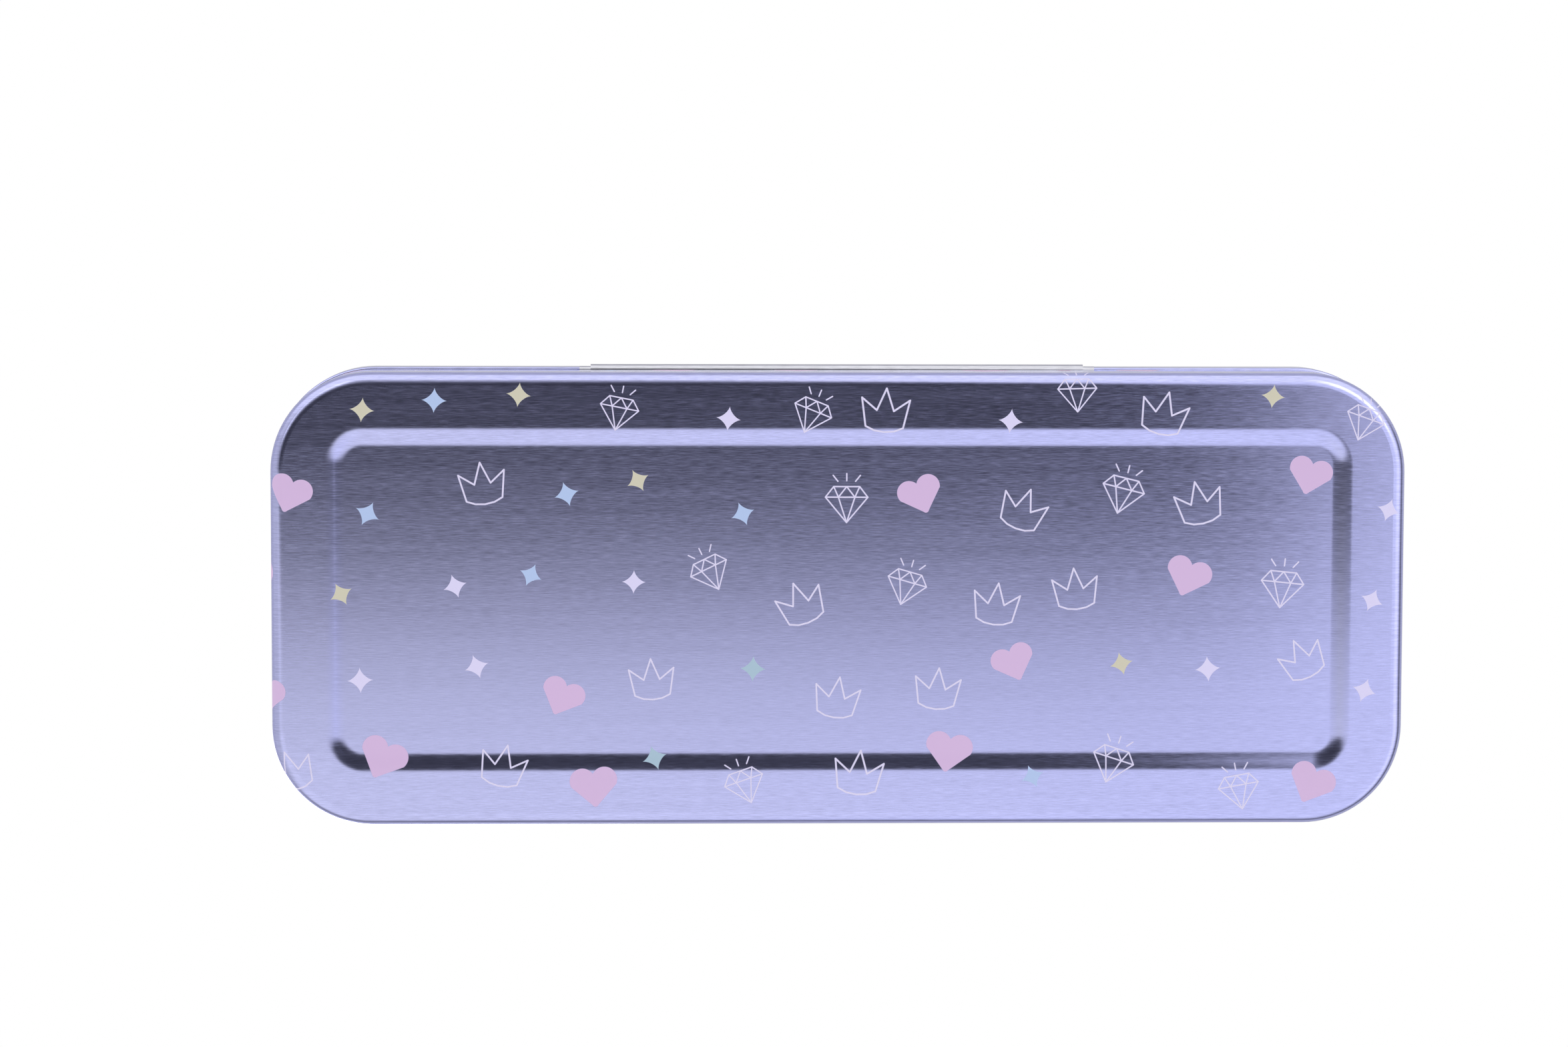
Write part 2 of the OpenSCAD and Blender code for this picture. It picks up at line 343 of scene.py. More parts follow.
def pressed_step(outer_plan, width, depth, z, steps=9):
    """Plans and heights of an S-shaped step of two equal arcs, from its outer to its inner edge.

    Each arc has radius (width^2 + depth^2) / (4 depth) and turns until they meet half way.
    """
    bend_r = (width**2 + depth**2) / (4 * depth)
    a = np.linspace(0.0, math.asin(width / 2 / bend_r), steps + 1)
    run, rise = bend_r * np.sin(a), bend_r * (1 - np.cos(a))
    run = np.concatenate([run, width - run[-2::-1]])
    rise = np.concatenate([rise, depth - rise[-2::-1]])
    return outer_plan - run[:, None], z + rise


def section(*pieces):
    """Joins pieces of a section, each the plans (K, 3) and heights (K) of its stations."""
    plans = np.concatenate([np.atleast_2d(p) for p, _ in pieces])
    return plans, np.concatenate([np.atleast_1d(z) for _, z in pieces])


def wall(outer, points):
    """Plans and heights of section points (distance in from the outline, height)."""
    points = np.concatenate([np.atleast_2d(p) for p in points])
    return outer - points[:, :1], points[:, 1]


def flat_ring(first, last, z):
    """Two stations just inside the edges of a flat ring, so that it is shaded flat."""
    way = np.sign(last[0] - first[0]) * EASE
    return np.stack([first + way, last - way]), np.full(2, z)


def unrolled(plans, heights):
    """Plans of a section from the middle outwards, with every bend and wall opened out flat.

    Each plan grows by the length along the section in place of the length in plan.
    """
    out = np.diff(plans[:, 0])
    extra = np.hypot(out, np.diff(heights)) - out
    return plans + np.concatenate([[0.0], np.cumsum(extra)])[:, None]


def quads(rows, columns, close_rows=False, close_columns=False):
    """Faces of a grid of points, each (r, c), (r, c+1), (r+1, c+1), (r+1, c)."""
    r = np.arange(rows if close_rows else rows - 1)[:, None]
    c = np.arange(columns if close_columns else columns - 1)[None, :]
    r2, c2 = (r + 1) % rows, (c + 1) % columns
    corners = [r * columns + c, r * columns + c2, r2 * columns + c2, r2 * columns + c]
    return np.stack([np.broadcast_to(v, (r.size, c.size)) for v in corners], -1).reshape(-1, 4)


class Pieces:
    """Gathers the surfaces of one object: points, faces, their materials and flat places."""

    def __init__(self):
        self.points, self.flats, self.faces, self.kinds = [], [], [], []

    def add(self, points, faces, kinds=0, flats=None):
        """Adds points (.., 3), their places on the flat sheet (.., 2), and faces of them."""
        start = sum(map(len, self.points))
        points = np.reshape(points, (-1, 3))
        flats = points[:, :2] if flats is None else np.reshape(flats, (-1, 2))
        self.points.append(points)
        self.flats.append(np.column_stack([flats, np.zeros(len(flats))]))
        self.faces += [[start + int(i) for i in face] for face in faces]
        self.kinds += np.broadcast_to(kinds, len(faces)).tolist()

    def finished(self, name, materials, sharp=35.0):
        """Makes the object, smooth-shaded below the sharp angle, with equal points merged."""
        mesh = bpy.data.meshes.new(name)
        mesh.from_pydata((np.concatenate(self.points) * MM).tolist(), [], self.faces)
        store = mesh.attributes.new("sheet", "FLOAT_VECTOR", "POINT")
        store.data.foreach_set("vector", np.concatenate(self.flats).astype(np.float32).ravel())
        for material in materials:
            mesh.materials.append(material)
        mesh.polygons.foreach_set("material_index", np.array(self.kinds, dtype=np.int32))
        work = bmesh.new()
        work.from_mesh(mesh)
        bmesh.ops.remove_doubles(work, verts=work.verts, dist=1e-7)
        bmesh.ops.dissolve_degenerate(work, edges=work.edges, dist=1e-7)
        work.to_mesh(mesh)
        work.free()
        mesh.shade_smooth()
        mesh.set_sharp_from_angle(angle=math.radians(sharp))
        made = bpy.data.objects.new(name, mesh)
        bpy.context.collection.objects.link(made)
        return made


def add_pressing(pieces, first, second, cut, in_cut, kinds, jog=None):
    """Adds a sheet whose section is carried round the plan, with both of its middles closed.

    first is one face of the sheet from its middle outwards, and second the other face back to
    the middle. in_cut gives the heights of all the stations in the cut of the rear wall, and
    kinds the materials of the two faces. jog moves the ends of the cut apart.
    """
    stops, inside = side_stops(cut)
    plans, heights = section(first, second)
    plan = loops(plans, stops)
    opened = section(
        (unrolled(*first), first[1]),
        (unrolled(second[0][::-1], second[1][::-1])[::-1], second[1]),
    )[0]
    rows, columns = plan.shape[:2]
    rear = rear_columns(len(stops))
    low = np.zeros(columns, dtype=bool)
    low[rear[inside]] = True
    z = np.where(low, in_cut[:, None], heights[:, None])
    if jog is not None:
        ends = rear[np.isclose(np.abs(stops), cut)]
        plan[:, ends, 0] += np.sign(plan[:, ends, 0]) * jog[:, None]
    faces = quads(rows, columns, close_columns=True).tolist()
    faces += [list(range(columns))[::-1], [(rows - 1) * columns + i for i in range(columns)]]
    which = np.where(np.arange(rows - 1) < len(first[1]), kinds[0], kinds[1])
    which = np.concatenate([np.repeat(which, columns), kinds])
    pieces.add(np.dstack([plan, z]), faces, which, loops(opened, stops))


def add_bead(pieces, outer, inset, z, radius, cut, kind, steps=14):
    """Adds a rolled edge: a circle carried round the plan, open at the rear between +-cut."""
    a = np.linspace(0.0, 2 * np.pi, steps, endpoint=False)
    stops, inside = side_stops(cut)
    plan = loops(outer - inset + radius * np.cos(a)[:, None], stops)
    gone = rear_columns(len(stops))[inside]
    plan = np.concatenate([plan[:, gone[-1] + 1 :], plan[:, : gone[0]]], axis=1)
    columns = plan.shape[1]
    height = np.broadcast_to((z + radius * np.sin(a))[:, None], plan.shape[:2])
    faces = quads(steps, columns, close_rows=True).tolist()
    start = np.arange(steps) * columns
    faces += [start.tolist(), (start[::-1] + columns - 1).tolist()]
    pieces.add(np.dstack([plan, height]), faces, kind)


def add_rod(pieces, half, outline, caps, kind):
    """Adds a closed outline (y, z), anticlockwise, carried along X from -half to +half."""
    count = len(outline)
    along = np.concatenate([[0.0], np.cumsum(np.hypot(*np.diff(outline, axis=0).T))])
    ends = [np.column_stack([np.full(count, x), outline]) for x in (-half, half)]
    flats = [np.column_stack([np.full(count, x), along]) for x in (-half, half)]
    faces = quads(2, count, close_columns=True).tolist()
    faces += [cap[::-1] for cap in caps] + [[i + count for i in cap] for cap in caps]
    pieces.add(ends, faces, kind, flats)


# Printed tinplate: fine brushing along X under a violet-tinted varnish, with small motifs
# in opaque ink. The print is laid out on the flat sheet, in cells with one motif each.

CELL = 16.3
STARS_END, HEARTS_END, CROWNS_END = 0.44, 0.64, 0.86  # of a random number; gems take the rest
TIN = (0.53, 0.545, 0.895)
PINK = (0.64, 0.46, 0.72)
PALE_LINE = (0.69, 0.65, 0.87)
SPARKLES = [
    (0.0, (0.69, 0.65, 0.91)),
    (0.3, (0.43, 0.55, 0.83)),
    (0.6, (0.38, 0.52, 0.64)),
    (0.8, (0.61, 0.58, 0.46)),
    (0.9, (0.58, 0.31, 0.55)),
]
CROWN = [(0, 3.9), (1.45, 0.1), (4.1, 2.1), (3.2, -2.7), (1.7, -3.35), (0, -3.55)]
GEM = [(0, 2.0), (2.2, 2.0), (3.6, 0.2), (0, -4.1)]
GEM_FACETS = [
    [(0, 0.2), (3.6, 0.2)],
    [(0, 2.0), (1.4, 0.2), (0, -4.1)],
    [(2.2, 2.0), (1.4, 0.2)],
    [(0, 3.0), (0, 4.2)],
    [(1.5, 2.9), (2.3, 3.9)],
]


def to_segment(point, a, b):
    """Distance from a point to the segment a-b, and the share of the way to its foot.

    The share is dot(p - a, b - a) / |b - a|^2, kept between 0 and 1.
    """
    run = (b[0] - a[0], b[1] - a[1], 0.0)
    square = run[0] ** 2 + run[1] ** 2
    from_a = point.vector("SUBTRACT", (a[0], a[1], 0.0))
    share = from_a.vector("DOT_PRODUCT", tuple(v / square for v in run), out=1)
    share = share.math("ADD", 0.0, clamp=True)
    foot = joined(share * run[0], share * run[1])
    return from_a.vector("SUBTRACT", foot).vector("LENGTH", out=1), share


def to_lines(point, *lines):
    """Distance from a point to the nearest of several polylines."""
    nearest = None
    for line in lines:
        for a, b in zip(line, line[1:]):
            away = to_segment(point, a, b)[0]
            nearest = away if nearest is None else nearest.least(away)
    return nearest


def new_look(name):
    """A new material and its Principled shader."""
    made = bpy.data.materials.new(name)
    made.use_nodes = True
    return made, made.node_tree.nodes["Principled BSDF"]


def finish_look(shader, colour, roughness, relief):
    """Links the sockets that give a shader its colour, its gloss and its relief."""
    for name, value in (("Base Color", colour), ("Roughness", roughness), ("Normal", relief)):
        value.tree.links.new(value.socket, shader.inputs[name])


def printed_motifs(sheet):
    """Ink mask and ink colour of the scatter at a place on the flat sheet (mm).

    Rows of square cells are shifted at random. In each cell one motif stands off centre and
    a little turned; a second random number picks its kind and its ink.
    """
    x, y, _ = sheet.split()
    rise = y / CELL + 0.37
    row = rise.floor()
    shift = row.node("ShaderNodeTexWhiteNoise", {"W": row + 11.3}, noise_dimensions="1D")
    u = x / CELL + shift
    column = u.floor()
    cell = joined(column, row)
    noise = {"kind": "ShaderNodeTexWhiteNoise", "out": 1, "noise_dimensions": "3D"}
    place = cell.node(inputs={"Vector": cell}, **noise).split()
    shifted = cell.vector("ADD", (5.5, 88.25, 17.0))
    choice = cell.node(inputs={"Vector": shifted}, **noise).split()
    left = (u - column - 0.5) * CELL - (place[0] - 0.5) * 7.2
    up = (rise - row - 0.5) * CELL - (place[1] - 0.5) * 7.2
    motif = up.node(
        "ShaderNodeVectorRotate",
        {"Vector": joined(left, up), "Angle": (place[2] - 0.5) * 1.0},
        rotation_type="Z_AXIS",
    )
    u, v, _ = motif.vector("SCALE", scale=1.06 - choice[2] * 0.12).split()
    u = abs(u)
    folded = joined(u, v)
    star = (u**0.68 + abs(v) ** 0.68).ramp(2.28**0.68, 2.18**0.68)
    away, share = to_segment(folded, (0.0, -2.6), (1.85, 1.35))
    heart = (away - share * 1.6).ramp(0.59, 0.51)
    crown = to_lines(folded, CROWN).ramp(0.19, 0.11)
    gem = to_lines(folded, GEM, *GEM_FACETS).ramp(0.155, 0.075)
    kind = choice[0]
    is_star, is_gem = kind < STARS_END, kind > CROWNS_END
    is_heart = (kind > STARS_END) * (kind < HEARTS_END)
    is_crown = (kind > HEARTS_END) * (kind < CROWNS_END)
    mask = (star * is_star).most(heart * is_heart).most(crown * is_crown).most(gem * is_gem)
    ink = choice[1].node("ShaderNodeValToRGB", {0: choice[1]}, stops=SPARKLES)
    ink = mixed(is_heart, ink, PINK)
    return mask, mixed(kind > HEARTS_END, ink, PALE_LINE)


def tinplate(name, colour, printed):
    """Brushed tinplate: streaks of noise stretched along the sheet's x vary its tone and gloss.

    The relief adds a dish of 0.04 mm across the panel, which drawing leaves in the sheet.
    """
    made, shader = new_look(name)
    tree = made.node_tree
    sheet = add_node(tree, "ShaderNodeAttribute", {}, 1, attribute_name="sheet")
    noise = {"kind": "ShaderNodeTexNoise", "noise_dimensions": "2D"}
    fine = sheet.vector("MULTIPLY", (0.38, 6.1, 1.0))
    grain = {"Vector": fine, "Scale": 1.0, "Detail": 2.5, "Roughness": 0.6}
    fine = sheet.node(inputs=grain, **noise)
    broad = sheet.vector("MULTIPLY", (0.02, 0.8, 1.0))
    broad = sheet.node(inputs={"Vector": broad, "Scale": 1.0, "Detail": 2.0}, **noise)
    streaks = (fine - 0.5) + (broad - 0.5) * 0.25
    tone = streaks * 0.55 + 1.0
    metal = joined(tone * colour[0], tone * colour[1], tone * colour[2])
    gloss = (streaks * 0.09 + 0.105).most(0.05)
    shader.inputs["Metallic"].default_value = 1.0
    if printed:
        mask, ink = printed_motifs(sheet)
        bare = 1.0 - mask
        metal = mixed(mask, metal, ink)
        gloss = gloss * bare + mask * 0.34
        tree.links.new(bare.socket, shader.inputs["Metallic"])
    off_middle = abs(sheet.split()[1]).least(27.0)
    relief = {"Height": streaks * 0.0006 + off_middle * off_middle * 6e-5, "Distance": MM}
    relief = streaks.node("ShaderNodeBump", relief)
    finish_look(shader, metal, gloss, relief)
    return made


printed_tin = tinplate("printed_tinplate", TIN, True)
plain_tin = tinplate("plain_tinplate", (0.62, 0.62, 0.70), False)

recess = np.array([BASE[0] - FOOT, BASE[1] - FOOT, 6.6])
step_plans, step_heights = pressed_step(recess, 3.6, 0.2, 0.0)
panel_edge = step_plans[-1] - EASE, step_heights[-1]
outside = section(
    panel_edge,
    (step_plans[::-1], step_heights[::-1]),
    flat_ring(recess, BASE - EDGE, 0.0),
    wall(
        BASE,
        [
            wall_arc(EDGE, EDGE, EDGE, -90, 0, 16),
            [(0.0, EDGE + EASE), (0.0, SHOULDER_Z - EASE)],
            wall_arc(SHOULDER_ARC, SHOULDER_Z, SHOULDER_ARC, 0, 90, 6),
            wall_arc(SHOULDER_ARC, SHOULDER_Z + STEP_IN, SHOULDER_ARC, 270, 180, 6)[1:],
            [(STEP_IN, SHOULDER_Z + STEP_IN + EASE), (STEP_IN, RIM_Z)],
        ],
    ),
)
inside = section(
    wall(
        BASE,
        [
            [(STEP_IN + SHEET, RIM_Z), (STEP_IN + SHEET, SHOULDER_Z + STEP_IN + EASE)],
            wall_arc(SHOULDER_ARC, SHOULDER_Z + STEP_IN, SHOULDER_ARC + SHEET, 180, 270, 6),
            wall_arc(SHOULDER_ARC, SHOULDER_Z, SHOULDER_ARC - SHEET, 90, 0, 6)[1:],
            [(SHEET, SHOULDER_Z - EASE), (SHEET, EDGE + EASE)],
            wall_arc(EDGE, EDGE, EDGE - SHEET, 0, -90, 12),
        ],
    ),
    flat_ring(BASE - EDGE, recess, SHEET),
    (step_plans, step_heights + SHEET),
    (panel_edge[0], panel_edge[1] + SHEET),
)
heights = section(outside, inside)[1]
cut_low = np.where(heights > EDGE + 1.0, np.minimum(heights - DENT, NOTCH_Z), heights)

# Inside the shoulder, the ends of the cut stand one sheet further apart than outside it.
spread = np.zeros(len(heights))
spread[len(outside[1]) + 2 : len(outside[1]) + 16] = SHEET

base_pieces = Pieces()
add_pressing(base_pieces, outside, inside, NOTCH_HALF, cut_low, (0, 1), spread)
add_bead(base_pieces, BASE, STEP_IN + RIM_R, RIM_Z, RIM_R, NOTCH_HALF, 0)
curl = np.concatenate(
    [
        arc((AXIS_Y, AXIS_Z), BARREL_R, -128, 180, 36),
        [(AXIS_Y - BARREL_R, NOTCH_Z), (AXIS_Y - BARREL_R + SHEET, NOTCH_Z)],
        arc((AXIS_Y, AXIS_Z), BARREL_R - SHEET, 180, -128, 36),
    ]
)
last = len(curl) - 1
curl_caps = [[i, i + 1, last - 1 - i, last - i] for i in range(last // 2)]
add_rod(base_pieces, BARREL_HALF, curl, curl_caps, 1)

base = base_pieces.finished("base_pressing", [printed_tin, plain_tin])
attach(base, "base")
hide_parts("base")


# ---- Lid ------------------------------------------------------------------------------
# Drawn from the same printed sheet: a raised panel inside a flat border, a rounded edge and
# a skirt that ends in a rolled safe edge. At the rear the skirt is cut away for the hinge
# barrel, and a bar across the gap turns in it.

LID = BASE + 0.35
BORDER, BORDER_TOP = 8.0, 21.5
BEAD_R = 0.4
WINDOW_HALF, WINDOW_TOP = 44.4, 15.8

frame_edge = LID - BORDER
step_plans, step_heights = pressed_step(frame_edge, 1.5, 0.5, BORDER_TOP)
panel_edge = step_plans[-1] - EASE, step_heights[-1]
bend_z = BORDER_TOP - EDGE
inside = section(
    (panel_edge[0], panel_edge[1] - SHEET),
    (step_plans[::-1], step_heights[::-1] - SHEET),
    flat_ring(frame_edge, LID - EDGE, BORDER_TOP - SHEET),
    wall(
        LID,
        [
            wall_arc(EDGE, bend_z, EDGE - SHEET, 90, 0, 12),
            [(SHEET, bend_z - EASE), (SHEET, AXIS_Z)],
        ],
    ),
)
outside = section(
    wall(
        LID,
        [[(0.0, AXIS_Z), (0.0, bend_z - EASE)], wall_arc(EDGE, bend_z, EDGE, 0, 90, 16)],
    ),
    flat_ring(LID - EDGE, frame_edge, BORDER_TOP),
    (step_plans, step_heights),
    panel_edge,
)
heights = section(inside, outside)[1]
cut_high = np.where(heights < AXIS_Z + 0.1, WINDOW_TOP, heights)

lid_pieces = Pieces()
add_pressing(lid_pieces, inside, outside, WINDOW_HALF, cut_high, (1, 0))
add_bead(lid_pieces, LID, BEAD_R, AXIS_Z, BEAD_R, WINDOW_HALF, 0)
bar = arc((AXIS_Y, AXIS_Z), BAR_R, 0, 360, 20)[:-1]
add_rod(lid_pieces, BAR_HALF, bar, [list(range(len(bar)))], 1)

lid = lid_pieces.finished("lid_pressing", [printed_tin, plain_tin])
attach(lid, "lid")
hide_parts("lid")


# ---- Tray -----------------------------------------------------------------------------
# Thermoformed from one thin sheet of off-white plastic: ten round-bottomed grooves, one
# for each pencil, a finger well across their middle, and a skirt that stands on the base.

TRAY = BASE - 2.3
LAND_Z, SKIRT_Z = 7.4, 0.3
PITCH, GROOVE_R, GROOVE_Z, GROOVE_HALF = 7.28, 4.092, 9.492, 84.5
WELL_HALF, WELL_REACH, WELL_Z = 11.0, 34.8, 3.0
LIP = 0.6  # rounding of the tray's top edge
GRID_HALF = 86.0  # the even columns of the tray's mesh end here and its round ends begin
PENCIL_Y = (np.arange(10) - 4.5) * PITCH


def soft_step(distance, width):
    """1 well inside an edge and 0 well outside it, by 3 t^2 - 2 t^3 across the width."""
    t = np.clip(0.5 - distance / width, 0.0, 1.0)
    return t * t * (3.0 - 2.0 * t)


def soft_least(a, b, width):
    """The lesser of two heights, rounded off where they differ by less than the width."""
    near = np.clip(width - np.abs(a - b), 0.0, None)
    return np.minimum(a, b) - near * near / (4.0 * width)


def tray_height(x, y):
    """Height of the tray's top: round grooves cut into the land, then the well into both."""
    off = np.min(np.abs(y[..., None] - PENCIL_Y), axis=-1)
    groove = GROOVE_Z - np.sqrt(np.clip(GROOVE_R**2 - off**2, 0.0, None))
    groove = soft_least(groove, np.full_like(groove, LAND_Z), 0.25)
    top = LAND_Z + (groove - LAND_Z) * soft_step(np.abs(x) - GROOVE_HALF, 0.7)
    well = soft_step(np.abs(x) - WELL_HALF, 0.8) * soft_step(np.abs(y) - WELL_REACH, 0.8)
    return top + (np.minimum(WELL_Z, top) - top) * well


def both_ways(places):
    """Places on both sides of zero, in order."""
    places = np.unique(np.round(places, 5))
    return np.concatenate([-places[places > 0][::-1], places])


fine = np.array([-0.5, -0.35, -0.22, -0.1, 0.0, 0.1, 0.22, 0.35, 0.5])
even = np.arange(0.0, GRID_HALF, 5.0)
across = both_ways(np.concatenate([even, WELL_HALF + fine, GROOVE_HALF + fine, [GRID_HALF]]))
top_y = TRAY[1] - LIP
edge_y = top_y - np.array([0.0, 0.02, 0.08, 0.18, 0.32, 0.5])
along = both_ways(np.concatenate([np.arange(0.0, 36.5, PITCH / 16), WELL_REACH + fine, edge_y]))
round_r = TRAY[2] - LIP
beyond = np.clip(np.abs(along) - (TRAY[1] - TRAY[2]), 0.0, None)
reach = (TRAY[0] - TRAY[2]) + np.sqrt(np.clip(round_r**2 - beyond**2, 0.0, None))
inner = np.minimum(GRID_HALF, reach - 0.4)
rim_share = np.linspace(0.0, 1.0, 5)[1:]
rim_x = inner[:, None] + rim_share * (reach - inner)[:, None]
grid_x = np.concatenate([-rim_x[:, ::-1], across * (inner / GRID_HALF)[:, None], rim_x], axis=1)
grid_y = np.broadcast_to(along[:, None], grid_x.shape)
grid = np.dstack([grid_x, grid_y, tray_height(grid_x, grid_y)])
border = np.concatenate([grid[0, :-1], grid[:-1, -1], grid[-1, :0:-1], grid[:0:-1, 0]])[:, :2]
centre = np.clip(border, TRAY[2] - TRAY[:2], TRAY[:2] - TRAY[2])
outward = border - centre
outward /= np.linalg.norm(outward, axis=1)[:, None]
lip = arc((0.0, LAND_Z - LIP), LIP, 0, 90, 6)
lip = np.concatenate([[[LIP, SKIRT_Z], [LIP, LAND_Z - LIP - 0.1]], lip])
rings = [np.column_stack([border + outward * out, np.full(len(border), z)]) for out, z in lip]

tray_pieces = Pieces()
tray_pieces.add(grid, quads(*grid.shape[:2]))
tray_pieces.add(rings, quads(len(rings), len(border), close_columns=True))


def moulded_plastic(name, colour):
    """Vacuum-formed sheet: a satin skin with a slow ripple and slight clouding."""
    made, shader = new_look(name)
    place = add_node(made.node_tree, "ShaderNodeTexCoord", {}, "Object")
    cloud = place.node("ShaderNodeTexNoise", {"Vector": place, "Scale": 45.0, "Detail": 3.0})
    grain = place.node("ShaderNodeTexNoise", {"Vector": place, "Scale": 900.0, "Detail": 2.0})
    tone = (cloud - 0.5) * 0.08 + 1.0
    skin = joined(tone * colour[0], tone * colour[1], tone * colour[2])
    gloss = (grain - 0.5) * 0.12 + 0.40
    relief = {"Height": grain + cloud, "Strength": 0.12, "Distance": 0.0002}
    relief = grain.node("ShaderNodeBump", relief)
    finish_look(shader, skin, gloss, relief)
    shader.inputs["IOR"].default_value = 1.55
    return made


tray = tray_pieces.finished("tray_moulding", [moulded_plastic("tray_plastic", (0.80, 0.79, 0.77))])
wall_of_tray = tray.modifiers.new("thickness", "SOLIDIFY")
wall_of_tray.thickness = 0.4 * MM
wall_of_tray.offset = -1.0
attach(tray, "base")
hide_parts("tray")


# ---- Pencils --------------------------------------------------------------------------
# Ten full-length pencils. Each casing is two grooved wooden slats glued round the core,
# planed to a hexagon, lacquered in the core's colour and sharpened to a cone, which leaves
# a scalloped edge between lacquer and bare wood.

PENCIL_Z, REAR_X, APEX_X = 9.392, -84.0, 84.0
FLATS_R, CORNER_R, SOFT_R = 3.44, 3.972, 3.9
TAPER = CORNER_R / 23.0
CORE_R, BORE_R, TIP_R, WOOD_R = 1.5, 1.52, 0.35, 1.65
PENCIL_COLOURS = {
    "yellow": (0.86, 0.58, 0.03),
    "orange": (0.84, 0.23, 0.02),
    "red": (0.60, 0.02, 0.03),
    "pink": (0.80, 0.17, 0.36),
    "violet": (0.20, 0.07, 0.42),
    "dark_blue": (0.02, 0.06, 0.34),
    "light_blue": (0.07, 0.40, 0.74),
    "green": (0.03, 0.31, 0.08),
    "brown": (0.20, 0.08, 0.03),
    "black": (0.022, 0.022, 0.025),
}


def hexagon(a):
    """Radius of a hexagon with softened corners, one of them straight up, at an angle.

    The straight sides' radius s / cos(angle from the side's middle) is joined to a circle
    of radius SOFT_R by the sum of their -24th powers.
    """
    off = np.mod(a - np.pi / 2, np.pi / 3) - np.pi / 6
    side = FLATS_R / np.cos(off)
    return (side**-24.0 + SOFT_R**-24.0) ** (-1 / 24)


def turned_surface(stations, a, middle):
    """Points at radius r and place x along a pencil: (x, r cos a, r sin a) about its middle."""
    x = np.stack([np.broadcast_to(x, a.shape) for x, _ in stations])
    r = np.stack([np.broadcast_to(r, a.shape) for _, r in stations])
    return np.dstack([x, middle[0] + r * np.cos(a), middle[1] + r * np.sin(a)])


def casing_points(middle):
    """Points of a casing's surface: rear face, hexagonal body, cone, and back along the bore."""
    a = np.linspace(0.0, 2 * np.pi, 72, endpoint=False)
    hexed = hexagon(a)
    edge_x = APEX_X - hexed / TAPER
    body = [
        (REAR_X, BORE_R),
        (REAR_X, hexed - 0.15),
        (REAR_X + 0.15, hexed),
        (REAR_X + 0.4, hexed),
        (0.0, hexed),
        (edge_x - 0.2, hexed),
        (edge_x, hexed),
    ]
    shares = (0.02, 0.15, 0.3, 0.45, 0.6, 0.75, 0.9, 1.0)
    radii = [hexed + (WOOD_R - hexed) * share for share in shares]
    cone = [(APEX_X - r / TAPER, r) for r in radii]
    stations = body + cone + [(APEX_X - WOOD_R / TAPER, BORE_R)]
    kinds = [1] + [0] * (len(body) - 2) + [1] * (len(cone) + 2)
    return turned_surface(stations, a, middle), np.repeat(kinds, len(a))


def core_points(middle):
    """Points of a core's surface, turned about its axis, with a blunted tip."""
    a = np.linspace(0.0, 2 * np.pi, 32, endpoint=False)
    tip = APEX_X - TIP_R / TAPER
    stations = [
        (REAR_X, 0.0),
        (REAR_X, CORE_R),
        (0.0, CORE_R),
        (APEX_X - CORE_R / TAPER - 0.1, CORE_R),
        (APEX_X - CORE_R / TAPER + 0.1, CORE_R - 0.03),
        (APEX_X - 0.8 / TAPER, 0.8),
        (APEX_X - 0.45 / TAPER, 0.45),
        (tip - 0.25, 0.36),
        (tip - 0.08, 0.24),
        (tip, 0.0),
    ]
    return turned_surface(stations, a, middle)


def lacquer(name, colour):
    """Dipped lacquer: a glossy coat over a faintly uneven colour that pools and thins."""
    made, shader = new_look(name)
    place = add_node(made.node_tree, "ShaderNodeTexCoord", {}, "Object")
    pool = place.vector("MULTIPLY", (60.0, 500.0, 500.0))
    pool = pool.node("ShaderNodeTexNoise", {"Vector": pool, "Scale": 1.0, "Detail": 3.0})
    tone = (pool - 0.5) * 0.16 + 1.0
    paint = joined(tone * colour[0], tone * colour[1], tone * colour[2])
    relief = pool.node("ShaderNodeBump", {"Height": pool, "Strength": 0.15, "Distance": 0.0001})
    finish_look(shader, paint, (pool - 0.5) * 0.1 + 0.3, relief)
    shader.inputs["Coat Weight"].default_value = 0.7
    shader.inputs["Coat Roughness"].default_value = 0.06
    return made


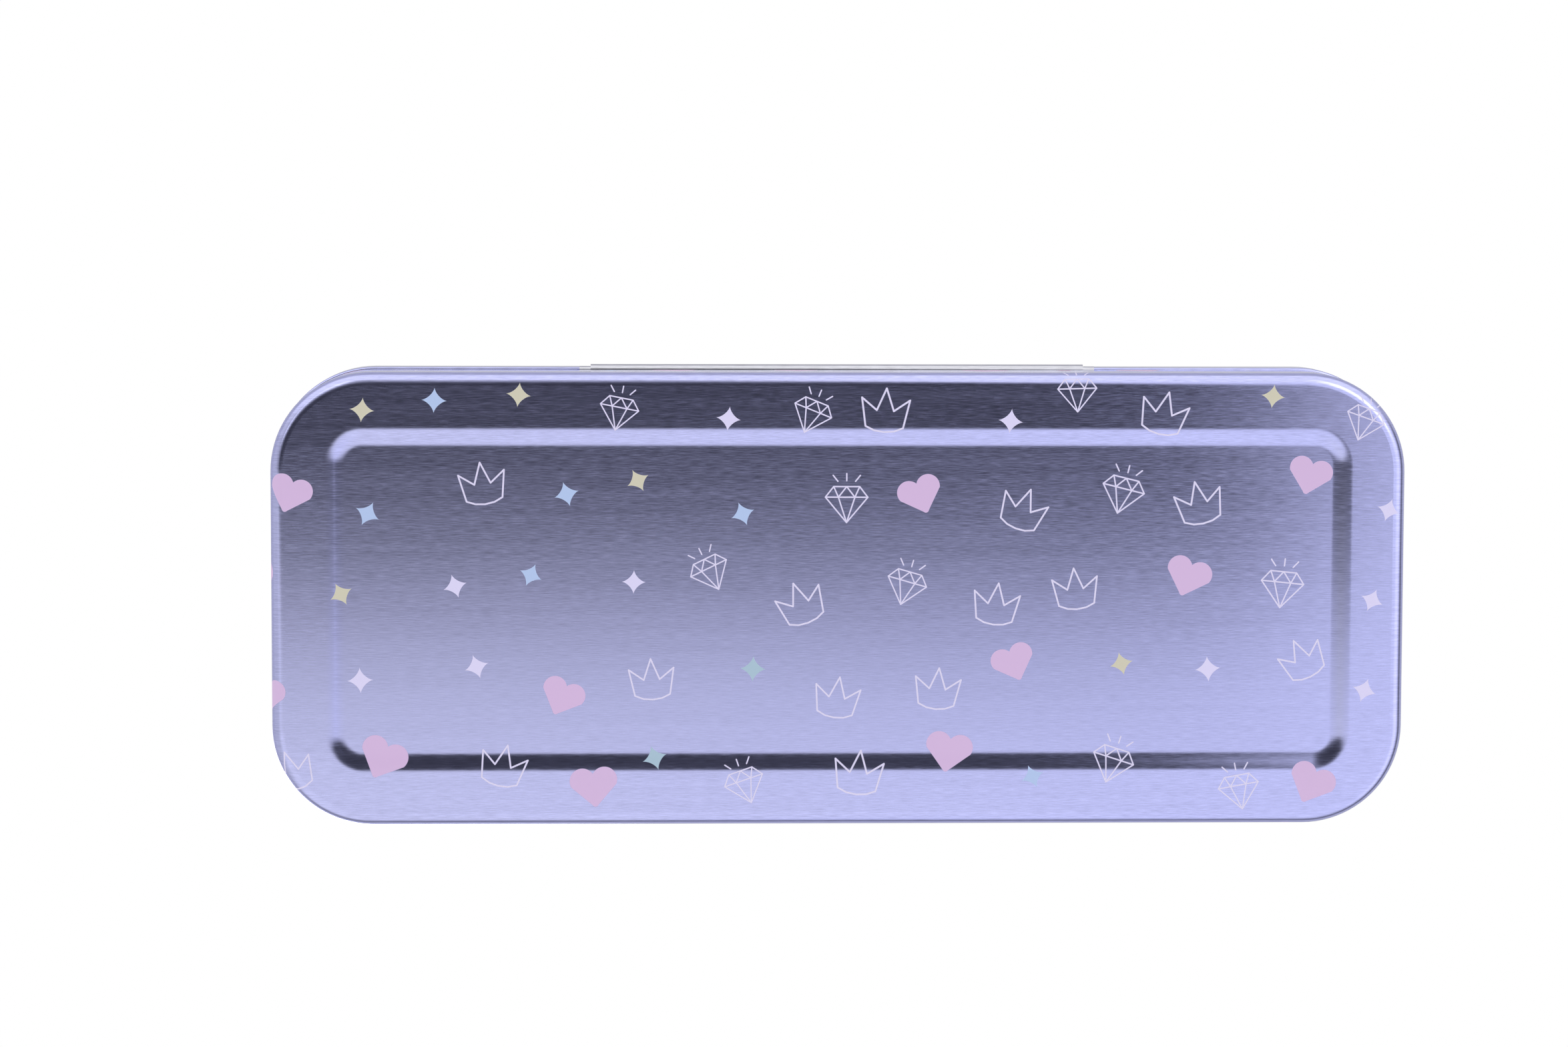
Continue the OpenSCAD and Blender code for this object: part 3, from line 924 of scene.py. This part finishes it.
def bare_wood(name):
    """Sharpened wood: long fibres and soft rings along the pencil, a shade darker in pores."""
    made, shader = new_look(name)
    place = add_node(made.node_tree, "ShaderNodeTexCoord", {}, "Object")
    fibre = place.vector("MULTIPLY", (110.0, 2600.0, 2600.0))
    fibre = fibre.node("ShaderNodeTexNoise", {"Vector": fibre, "Scale": 1.0, "Detail": 4.0})
    ring = place.vector("MULTIPLY", (25.0, 420.0, 90.0))
    ring = ring.node("ShaderNodeTexNoise", {"Vector": ring, "Scale": 1.0, "Detail": 2.0})
    dark = fibre.ramp(0.35, 0.7) * 0.45 + ring.ramp(0.4, 0.65) * 0.35
    wood = mixed(dark, (0.66, 0.45, 0.26), (0.42, 0.24, 0.11))
    relief = fibre.node("ShaderNodeBump", {"Height": fibre, "Strength": 0.4, "Distance": 0.0001})
    finish_look(shader, wood, fibre * 0.2 + 0.5, relief)
    return made


def pigment_core(name, colour):
    """Waxy coloured core: specks of pigment and filler, with fine rings left by sharpening."""
    made, shader = new_look(name)
    place = add_node(made.node_tree, "ShaderNodeTexCoord", {}, "Object")
    speck = place.node("ShaderNodeTexNoise", {"Vector": place, "Scale": 3500.0, "Detail": 2.0})
    ring = place.vector("MULTIPLY", (5200.0, 60.0, 60.0))
    ring = ring.node("ShaderNodeTexNoise", {"Vector": ring, "Scale": 1.0, "Detail": 1.0})
    pale = tuple(0.72 * c + 0.10 for c in colour)
    wax = mixed(speck.ramp(0.3, 0.75), colour, pale)
    relief = {"Height": ring + speck, "Strength": 0.25, "Distance": 0.0001}
    relief = ring.node("ShaderNodeBump", relief)
    finish_look(shader, wax, speck * 0.2 + 0.42, relief)
    return made


sharpened_wood = bare_wood("sharpened_wood")
for i, (colour, paint) in enumerate(PENCIL_COLOURS.items()):
    middle = (PENCIL_Y[i], PENCIL_Z)
    points, kinds = casing_points(middle)
    casing_pieces = Pieces()
    casing_pieces.add(points, quads(*points.shape[:2], close_rows=True, close_columns=True), kinds)
    skins = [lacquer(f"{colour}_lacquer", paint), sharpened_wood]
    casing = casing_pieces.finished(f"{colour}_casing", skins, sharp=30.0)
    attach(casing, "base")
    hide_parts(f"{colour}_pencil_casing")

    points = core_points(middle)
    core_pieces = Pieces()
    core_pieces.add(points, quads(*points.shape[:2], close_columns=True))
    core = core_pieces.finished(f"{colour}_core", [pigment_core(f"{colour}_lead", paint)])
    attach(core, "base")
    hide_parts(f"{colour}_pencil_core")
